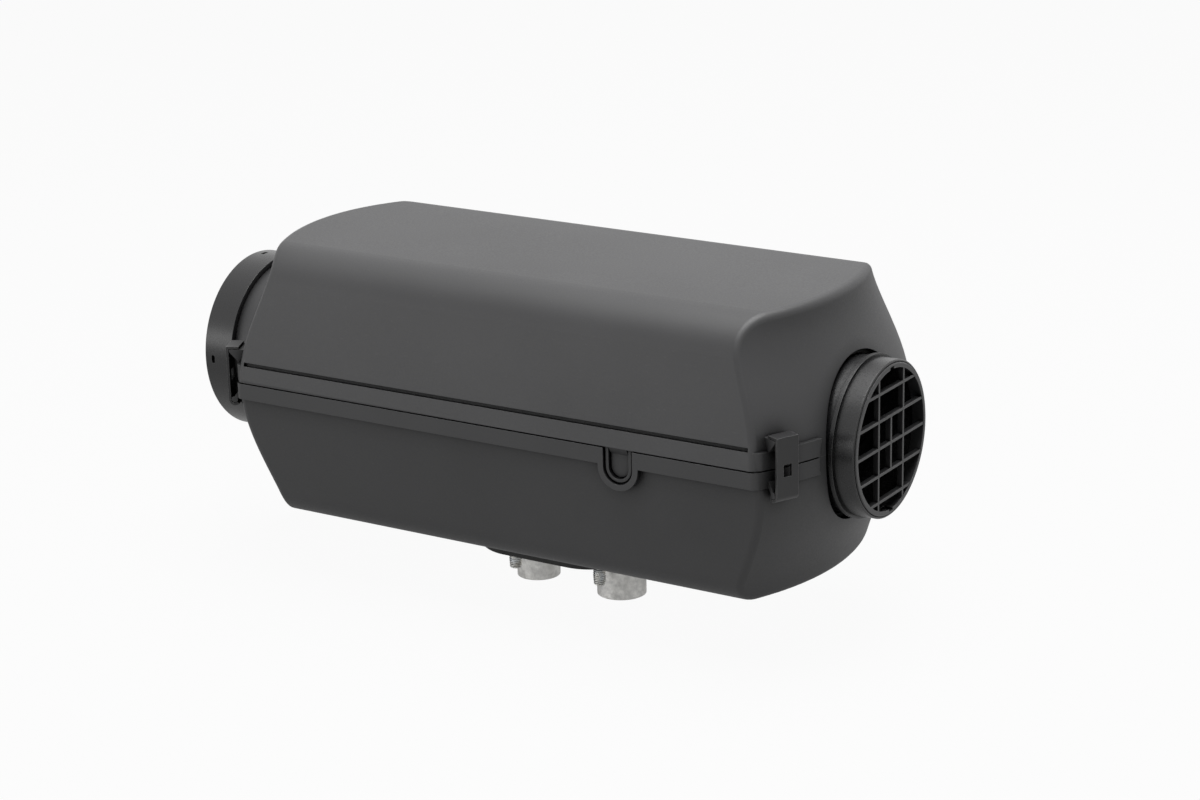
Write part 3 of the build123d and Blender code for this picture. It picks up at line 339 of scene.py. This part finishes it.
# heat-resisting stainless sheet: brushed, and tinted straw to brown and blue by the flame
def heatTintedSteel(name, look):
    material, tree, shader, coordinates, normal = newMaterial(name, look)
    brushed = noise(tree, stretched(tree, coordinates, (0.05, 1.0, 1.0)), look["grain"])
    along = addNode(tree, "ShaderNodeSeparateXYZ", {"Vector": coordinates}).outputs["X"]
    wander = noise(tree, coordinates, look["wander"], 3.0, 0.6)
    place = remap(tree, along, (look["hot"] * millimetre, look["cool"] * millimetre))
    shift = calculate(tree, "SUBTRACT", wander, 0.5)
    place = calculate(tree, "MULTIPLY_ADD", shift, look["waver"], place)
    ramp = addNode(tree, "ShaderNodeValToRGB", {"Fac": place})
    stops = ramp.color_ramp.elements
    for index, (tone, share) in enumerate(look["bands"].items()):
        stop = stops[index] if index < len(stops) else stops.new(share)
        stop.position = share
        stop.color = srgb(look[tone])
    feed(tree, shader, {
        "Base Color": ramp.outputs["Color"],
        "Roughness": spread(tree, brushed, 0.28, 0.45),
        "Metallic": 1.0,
    })
    finish(tree, shader, normal, brushed, 0.3, look["depth"])
    return material


burnerLook = {
    "soot": "#4a443e", "blue": "#59606f", "brown": "#7d6650", "straw": "#a8966d", "bare": "#a9a8a4",
    "bands": {"soot": 0.0, "blue": 0.3, "brown": 0.5, "straw": 0.75, "bare": 1.0},
    "hot": -40.0, "cool": 46.0, "wander": 16.0, "waver": 0.6,
    "grain": 0.6, "depth": 0.03, "edge": 0.2,
}


# pressed gasket fibre: grey-brown felt of short fibres lying every way, quite matt
def pressedFibre(name, look):
    material, tree, shader, coordinates, normal = newMaterial(name, look)
    first = noise(tree, stretched(tree, coordinates, (1.0, 0.15, 1.0)), look["fibre"])
    second = noise(tree, stretched(tree, coordinates, (1.0, 1.0, 0.15)), look["fibre"])
    felt = calculate(tree, "MAXIMUM", first, second)
    tint = blend(tree, spread(tree, felt, 0.0, 1.0), srgb(look["dark"]), srgb(look["light"]))
    feed(tree, shader, {"Base Color": tint, "Roughness": 0.9})
    finish(tree, shader, normal, felt, 0.6, look["depth"])
    return material


gasketLook = {"dark": "#4d4943", "light": "#7a756b", "fibre": 0.7, "depth": 0.1, "edge": 0.2}


# metal with fine lines round the air path's axis, left by a tool or by grinding: rings of light
def ringedMetal(name, look):
    material, tree, shader, coordinates, normal = newMaterial(name, look)
    lines = noise(tree, stretched(tree, coordinates, (1.0, 0.04, 0.04)), look["line"], 2.0, 0.7)
    haze = noise(tree, coordinates, look["haze"], 3.0, 0.6)
    tint = blend(tree, spread(tree, haze, 0.0, 1.0), srgb(look["dark"]), srgb(look["light"]))
    feed(tree, shader, {
        "Base Color": tint,
        "Roughness": spread(tree, lines, look["roughness"] - 0.06, look["roughness"] + 0.08),
        "Metallic": 1.0,
    })
    finish(tree, shader, normal, lines, 0.35, look["depth"])
    return material


motorLook = {
    "dark": "#8d8e8f", "light": "#a8a9a9", "line": 0.4, "haze": 14.0,
    "roughness": 0.32, "depth": 0.03, "edge": 0.3,
}
groundLook = {
    "dark": "#b5b6b8", "light": "#c6c7c8", "line": 0.3, "haze": 10.0,
    "roughness": 0.16, "depth": 0.01, "edge": 0.15,
}
brassLook = {
    "dark": "#a9884a", "light": "#c9a95f", "line": 0.35, "haze": 6.0,
    "roughness": 0.3, "depth": 0.03, "edge": 0.2,
}


# stacked iron laminations under varnish: dark, with the sheets' edges as fine bands across X
def laminatedIron(name, look):
    material, tree, shader, coordinates, normal = newMaterial(name, look)
    waveBands = 20            # a wave texture draws about this many bands in one of its units
    sheets = addNode(tree, "ShaderNodeTexWave", {
        "Vector": coordinates, "Scale": perMetre(look["sheet"]) / waveBands, "Distortion": 0.3,
    }, wave_type="BANDS", bands_direction="X").outputs["Fac"]
    tint = blend(tree, sheets, srgb(look["gap"]), srgb(look["iron"]))
    feed(tree, shader, {
        "Base Color": tint, "Metallic": 0.7, "Roughness": 0.45,
        "Coat Weight": 0.4, "Coat Roughness": 0.2,
    })
    finish(tree, shader, normal, sheets, 0.5, look["depth"])
    return material


coreLook = {"gap": "#2b2826", "iron": "#5b5856", "sheet": 1.0, "depth": 0.08, "edge": 0.15}

zincPlate = zincPlatedSteel("zincPlatedSteel", zincLook)
finishOfSlot = {
    "casing_plastic": mouldedPlastic("mouldedPolyamide", casingLook),
    "collar_plastic": mouldedPlastic("collarPolyamide", collarLook),
    "grille_plastic": mouldedPlastic("grillePolyamide", grilleLook),
    "clip_plastic": mouldedPlastic("clipAcetal", clipLook),
    "fan_plastic": mouldedPlastic("glassFilledFan", fanLook),
    "unit_plastic": mouldedPlastic("unitHousing", unitLook),
    "seal_rubber": mouldedRubber("sealRubber", sealLook),
    "grommet_rubber": mouldedRubber("grommetRubber", grommetLook),
    "cast_alloy": castAluminium("dieCastAluminium", castLook),
    "blower_alloy": castAluminium("blowerCasting", blowerLook),
    "impeller_alloy": castAluminium("impellerCasting", impellerLook),
    "zinc_steel": zincPlate,
    "burner_steel": heatTintedSteel("heatTintedStainless", burnerLook),
    "gasket_fibre": pressedFibre("gasketFibre", gasketLook),
    "motor_steel": ringedMetal("drawnMotorSteel", motorLook),
    "ground_steel": ringedMetal("groundSteel", groundLook),
    "sensor_brass": ringedMetal("turnedBrass", brassLook),
    "core_iron": laminatedIron("laminatedIron", coreLook),
}
slotOf = {part["node"]: part["material_slot"] for part in frame["record"]["subparts"]}
for nodeName, node in nodes.items():
    node.data.materials.clear()
    node.data.materials.append(finishOfSlot[slotOf[nodeName]])
print("finishes made and given:", len(finishOfSlot))


# the studs, with rolled threads in place of the plain solids
studThread = {
    "core": 2.55,         # mm, radius at the bottom of the thread
    "crest": 3.0,
    "pitch": 1.0,
    "length": 13.5,       # threaded, below the foot
    "end": 2.6,           # radius of the plain end in the foot
    "hidden": 8.9,        # length of that end
    "spacingX": 50.0,
    "spacingY": 41.2,
}
turnSteps = 24                # points in one turn of the thread
roundSides = 32
ridgeShare = 0.46             # the ridge's half width, as a share of the pitch
ridgeFlat = 0.5               # and its depth against that


def newTree(name, inputs):
    # a Geometry Nodes tree with named inputs, and the identifiers of their sockets
    tree = bpy.data.node_groups.new(name, "GeometryNodeTree")
    tree.interface.new_socket("Geometry", in_out="OUTPUT", socket_type="NodeSocketGeometry")
    identifiers = {}
    for label, kind in inputs.items():
        socket = tree.interface.new_socket(label, in_out="INPUT", socket_type=kind)
        identifiers[label] = socket.identifier
    entry = addNode(tree, "NodeGroupInput")
    leave = addNode(tree, "NodeGroupOutput")
    return tree, entry.outputs, leave, identifiers


def makeFromTree(name, tree, identifiers, values, body):
    # run a tree on an empty mesh, and keep the result as a plain mesh
    holder = bpy.data.objects.new(name + "Holder", bpy.data.meshes.new(name + "Empty"))
    bpy.context.scene.collection.objects.link(holder)
    modifier = holder.modifiers.new(name, "NODES")
    modifier.node_group = tree
    for label, value in values.items():
        modifier[identifiers[label]] = value
    evaluated = holder.evaluated_get(bpy.context.evaluated_depsgraph_get())
    mesh = bpy.data.meshes.new_from_object(evaluated)
    holder.modifiers.remove(modifier)
    bpy.data.objects.remove(holder)
    piece = bpy.data.objects.new(name, mesh)
    bpy.context.scene.collection.objects.link(piece)
    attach(piece, body)
    return piece


def turned(tree, radius, length):
    return addNode(tree, "GeometryNodeMeshCylinder", {
        "Vertices": roundSides, "Radius": radius, "Depth": length,
    })


def raised(tree, body, height):
    lift = addNode(tree, "ShaderNodeCombineXYZ", {"Z": height})
    return addNode(tree, "GeometryNodeTransform", {
        "Geometry": body.outputs["Mesh"], "Translation": lift.outputs["Vector"],
    })


def threadTree():
    # a turned core with a helical ridge, set at each of the four places
    tree, given, leave, identifiers = newTree("rolledThread", {
        "Core": "NodeSocketFloat", "Crest": "NodeSocketFloat", "Pitch": "NodeSocketFloat",
        "Length": "NodeSocketFloat", "End": "NodeSocketFloat", "Hidden": "NodeSocketFloat",
        "Spacing": "NodeSocketVector", "Finish": "NodeSocketMaterial",
    })
    turns = calculate(tree, "DIVIDE", given["Length"], given["Pitch"])
    middle = calculate(tree, "MULTIPLY", calculate(tree, "ADD", given["Core"], given["Crest"]), 0.5)
    helix = addNode(tree, "GeometryNodeCurveSpiral", {
        "Resolution": turnSteps, "Rotations": turns, "Start Radius": middle,
        "End Radius": middle, "Height": given["Length"],
    })
    profile = addNode(tree, "GeometryNodeCurvePrimitiveCircle", {
        "Resolution": 4, "Radius": calculate(tree, "MULTIPLY", given["Pitch"], ridgeShare),
    })
    flat = addNode(tree, "GeometryNodeTransform", {
        "Geometry": profile.outputs["Curve"], "Scale": (ridgeFlat, 1.0, 1.0),
    })
    thread = addNode(tree, "GeometryNodeCurveToMesh", {
        "Curve": helix.outputs["Curve"], "Profile Curve": flat.outputs["Geometry"], "Fill Caps": True,
    })
    down = calculate(tree, "MULTIPLY", given["Length"], -1.0)
    whole = calculate(tree, "ADD", given["Length"], given["Hidden"])
    rise = calculate(tree, "SUBTRACT", given["Hidden"], given["Length"])
    parts = [
        raised(tree, thread, down),
        raised(tree, turned(tree, given["Core"], whole), calculate(tree, "MULTIPLY", rise, 0.5)),
        raised(tree, turned(tree, given["End"], given["Hidden"]),
               calculate(tree, "MULTIPLY", given["Hidden"], 0.5)),
    ]
    stud = addNode(tree, "GeometryNodeJoinGeometry")
    for part in parts:
        tree.links.new(part.outputs["Geometry"], stud.inputs["Geometry"])
    across = addNode(tree, "ShaderNodeSeparateXYZ", {"Vector": given["Spacing"]})
    corners = addNode(tree, "GeometryNodeMeshGrid", {
        "Size X": across.outputs["X"], "Size Y": across.outputs["Y"], "Vertices X": 2, "Vertices Y": 2,
    })
    studs = addNode(tree, "GeometryNodeInstanceOnPoints", {
        "Points": corners.outputs["Mesh"], "Instance": stud.outputs["Geometry"],
    })
    real = addNode(tree, "GeometryNodeRealizeInstances", {"Geometry": studs.outputs["Instances"]})
    painted = addNode(tree, "GeometryNodeSetMaterial", {
        "Geometry": real.outputs["Geometry"], "Material": given["Finish"],
    })
    tree.links.new(painted.outputs["Geometry"], leave.inputs["Geometry"])
    return tree, identifiers


def makeStuds(sizes):
    tree, identifiers = threadTree()
    lengths = ("Core", "Crest", "Pitch", "Length", "End", "Hidden")
    values = {label: sizes[label.lower()] * millimetre for label in lengths}
    values |= {
        "Spacing": (sizes["spacingX"] * millimetre, sizes["spacingY"] * millimetre, 0.0),
        "Finish": zincPlate,
    }
    studs = makeFromTree("threadedStuds", tree, identifiers, values, "root")
    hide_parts("mounting_studs")


makeStuds(studThread)
print("studs threaded")


stageSizes = {
    "radius": 6.0,        # metres
    "drop": 0.0249,       # metres from the mounting face down to the floor, past the stubs
    "floor": "#a6a6a6",
    "glow": 0.95,         # share of plain white, where the camera looks at the floor itself
    "mirrored": 0.44,     # the same where it shows as a reflection, with the object's shadow in it
    "worldLight": 0.06,   # the white background's strength as a light
}
white = (1.0, 1.0, 1.0, 1.0)


def makeFloor(sizes):
    mesh = bpy.data.meshes.new("floor")
    reach = sizes["radius"]
    corners = [(-reach, -reach), (reach, -reach), (reach, reach), (-reach, reach)]
    mesh.from_pydata([(x, y, -sizes["drop"]) for x, y in corners], [], [(0, 1, 2, 3)])
    floor = bpy.data.objects.new("floor", mesh)
    bpy.context.scene.collection.objects.link(floor)
    material = bpy.data.materials.new("paleFloor")
    material.use_nodes = True
    tree = material.node_tree
    tree.nodes.clear()
    output = addNode(tree, "ShaderNodeOutputMaterial")
    rays = addNode(tree, "ShaderNodeLightPath").outputs
    seen = calculate(tree, "MAXIMUM", rays["Is Camera Ray"], rays["Is Transmission Ray"])
    direct = calculate(tree, "MULTIPLY", seen, sizes["glow"])
    share = calculate(tree, "MULTIPLY_ADD", rays["Is Glossy Ray"], sizes["mirrored"], direct)
    paint = addNode(tree, "ShaderNodeBsdfDiffuse", {"Color": srgb(sizes["floor"])})
    glow = addNode(tree, "ShaderNodeEmission", {"Color": white, "Strength": 1.0})
    both = addNode(tree, "ShaderNodeMixShader", {
        0: share, 1: paint.outputs["BSDF"], 2: glow.outputs["Emission"],
    })
    tree.links.new(both.outputs["Shader"], output.inputs["Surface"])
    mesh.materials.append(material)


def makeWorld(strength):
    world = bpy.data.worlds.new("studio")
    bpy.context.scene.world = world
    world.use_nodes = True
    tree = world.node_tree
    tree.nodes.clear()
    output = addNode(tree, "ShaderNodeOutputWorld")
    rays = addNode(tree, "ShaderNodeLightPath").outputs
    seen = calculate(tree, "MAXIMUM", rays["Is Camera Ray"], rays["Is Glossy Ray"])
    seen = calculate(tree, "MAXIMUM", seen, rays["Is Transmission Ray"])
    soft = addNode(tree, "ShaderNodeBackground", {"Color": white, "Strength": strength})
    plain = addNode(tree, "ShaderNodeBackground", {"Color": white, "Strength": 1.0})
    both = addNode(tree, "ShaderNodeMixShader", {
        0: seen, 1: soft.outputs["Background"], 2: plain.outputs["Background"],
    })
    tree.links.new(both.outputs["Shader"], output.inputs["Surface"])


lamps = {
    # name: place, aim (mm), width, depth (mm), watts
    "top": ((100, 0, 1500), (0, 0, 80), 1600, 900, 30.0),
    "front": ((-900, -1300, 240), (0, 0, 60), 1400, 420, 3.7),
    "inlet": ((700, -200, 1700), (150, 0, 110), 700, 700, 4.6),
}


def makeLamp(name, place, aim, width, depth, watts):
    data = bpy.data.lights.new(name, "AREA")
    data.shape = "RECTANGLE"
    data.size = width * millimetre
    data.size_y = depth * millimetre
    data.energy = watts
    lamp = bpy.data.objects.new(name, data)
    bpy.context.scene.collection.objects.link(lamp)
    start = Vector(place) * millimetre
    way = Vector(aim) * millimetre - start
    lamp.matrix_world = Matrix.Translation(start) @ way.to_track_quat("-Z", "Y").to_matrix().to_4x4()


makeFloor(stageSizes)
makeWorld(stageSizes["worldLight"])
for lampName, settings in lamps.items():
    makeLamp(lampName, *settings)
print("studio lit")
